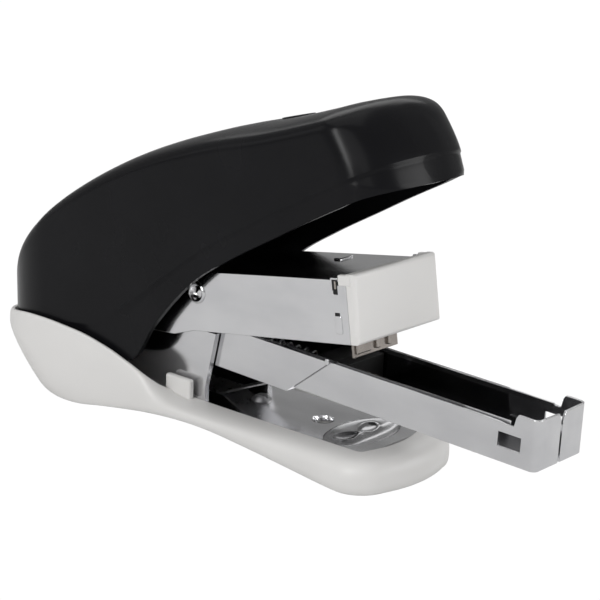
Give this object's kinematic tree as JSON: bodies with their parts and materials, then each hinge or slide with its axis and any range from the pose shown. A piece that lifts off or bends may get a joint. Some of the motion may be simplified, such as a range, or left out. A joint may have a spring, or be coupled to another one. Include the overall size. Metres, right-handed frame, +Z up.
{
  "type": "stapler",
  "caption": "Desk stapler with a raised plastic handle, hinged driver arm, chromed staple magazine that slides out at the front, and a plastic base with a metal anvil deck.",
  "frame": {"origin": "on the table under the driver blade, in the stapler's middle plane", "axes": "+X forward to the nose, +Y to the stapler's left, +Z up"},
  "size_m": [0.1458, 0.037, 0.0752],
  "materials": {
    "cover_white": "fine satin, warm light grey-white ABS",
    "handle_black": "satin black ABS",
    "inner_black": "matte black ABS",
    "chromed_steel": "bright nickel-chrome plate",
    "plain_steel": "zinc-plated or hardened spring steel",
    "pusher_plastic": "moulded acetal",
    "rubber": "matte"
  },
  "bodies": {
    "base": {"base_cover": "cover_white", "base_frame": "chromed_steel", "anvil": "chromed_steel", "frame_screws": "plain_steel", "rubber_feet": "rubber", "holder_spring": "plain_steel", "handle_pin": "plain_steel", "arm_pin": "plain_steel", "holder_pin": "plain_steel"},
    "holder": {"magazine_holder": "chromed_steel", "guide_rod": "plain_steel"},
    "magazine": {"magazine_channel": "chromed_steel", "staple_rail": "chromed_steel"},
    "pusher": {"pusher": "pusher_plastic", "pusher_spring": "plain_steel"},
    "arm": {"driver_arm": "chromed_steel", "nose_cap": "cover_white", "driver_blade": "plain_steel", "driver_leaf": "plain_steel", "roller_eyelet": "chromed_steel", "press_roller": "plain_steel"},
    "handle": {"handle_cover": "handle_black", "handle_plug": "handle_black", "handle_lever": "inner_black", "handle_spring": "plain_steel"}
  },
  "joints": [
    {"name": "handle_pivot", "type": "hinge", "parent": "base", "child": "handle", "pos_m": [-0.08, 0, 0.019], "axis": [0, 1, 0], "range_deg": [0, 20], "stiffness_Nm_per_rad": 0.6, "springref_deg": -20.05},
    {"name": "arm_pivot", "type": "hinge", "parent": "base", "child": "arm", "pos_m": [-0.07, 0, 0.0245], "axis": [0, 1, 0], "range_deg": [0, 8.7]},
    {"name": "holder_pivot", "type": "hinge", "parent": "base", "child": "holder", "pos_m": [-0.0685, 0, 0.0189], "axis": [0, 1, 0], "range_deg": [0, 4.3], "deforming": ["holder_spring"]},
    {"name": "magazine_slide", "type": "slide", "parent": "holder", "child": "magazine", "axis": [0.9994, 0, -0.0342], "range_m": [-0.042, 0]},
    {"name": "pusher_slide", "type": "slide", "parent": "holder", "child": "pusher", "axis": [0.9994, 0, -0.0342], "range_m": [-0.044, 0], "stiffness_N_per_m": 25, "springref_m": 0.02, "deforming": ["pusher_spring"]}
  ],
  "couplings": [
    {"joint": "arm_pivot", "follows": "handle_pivot", "ratio": 0.43},
    {"joint": "holder_pivot", "follows": "handle_pivot", "ratio": 0.21}
  ]
}
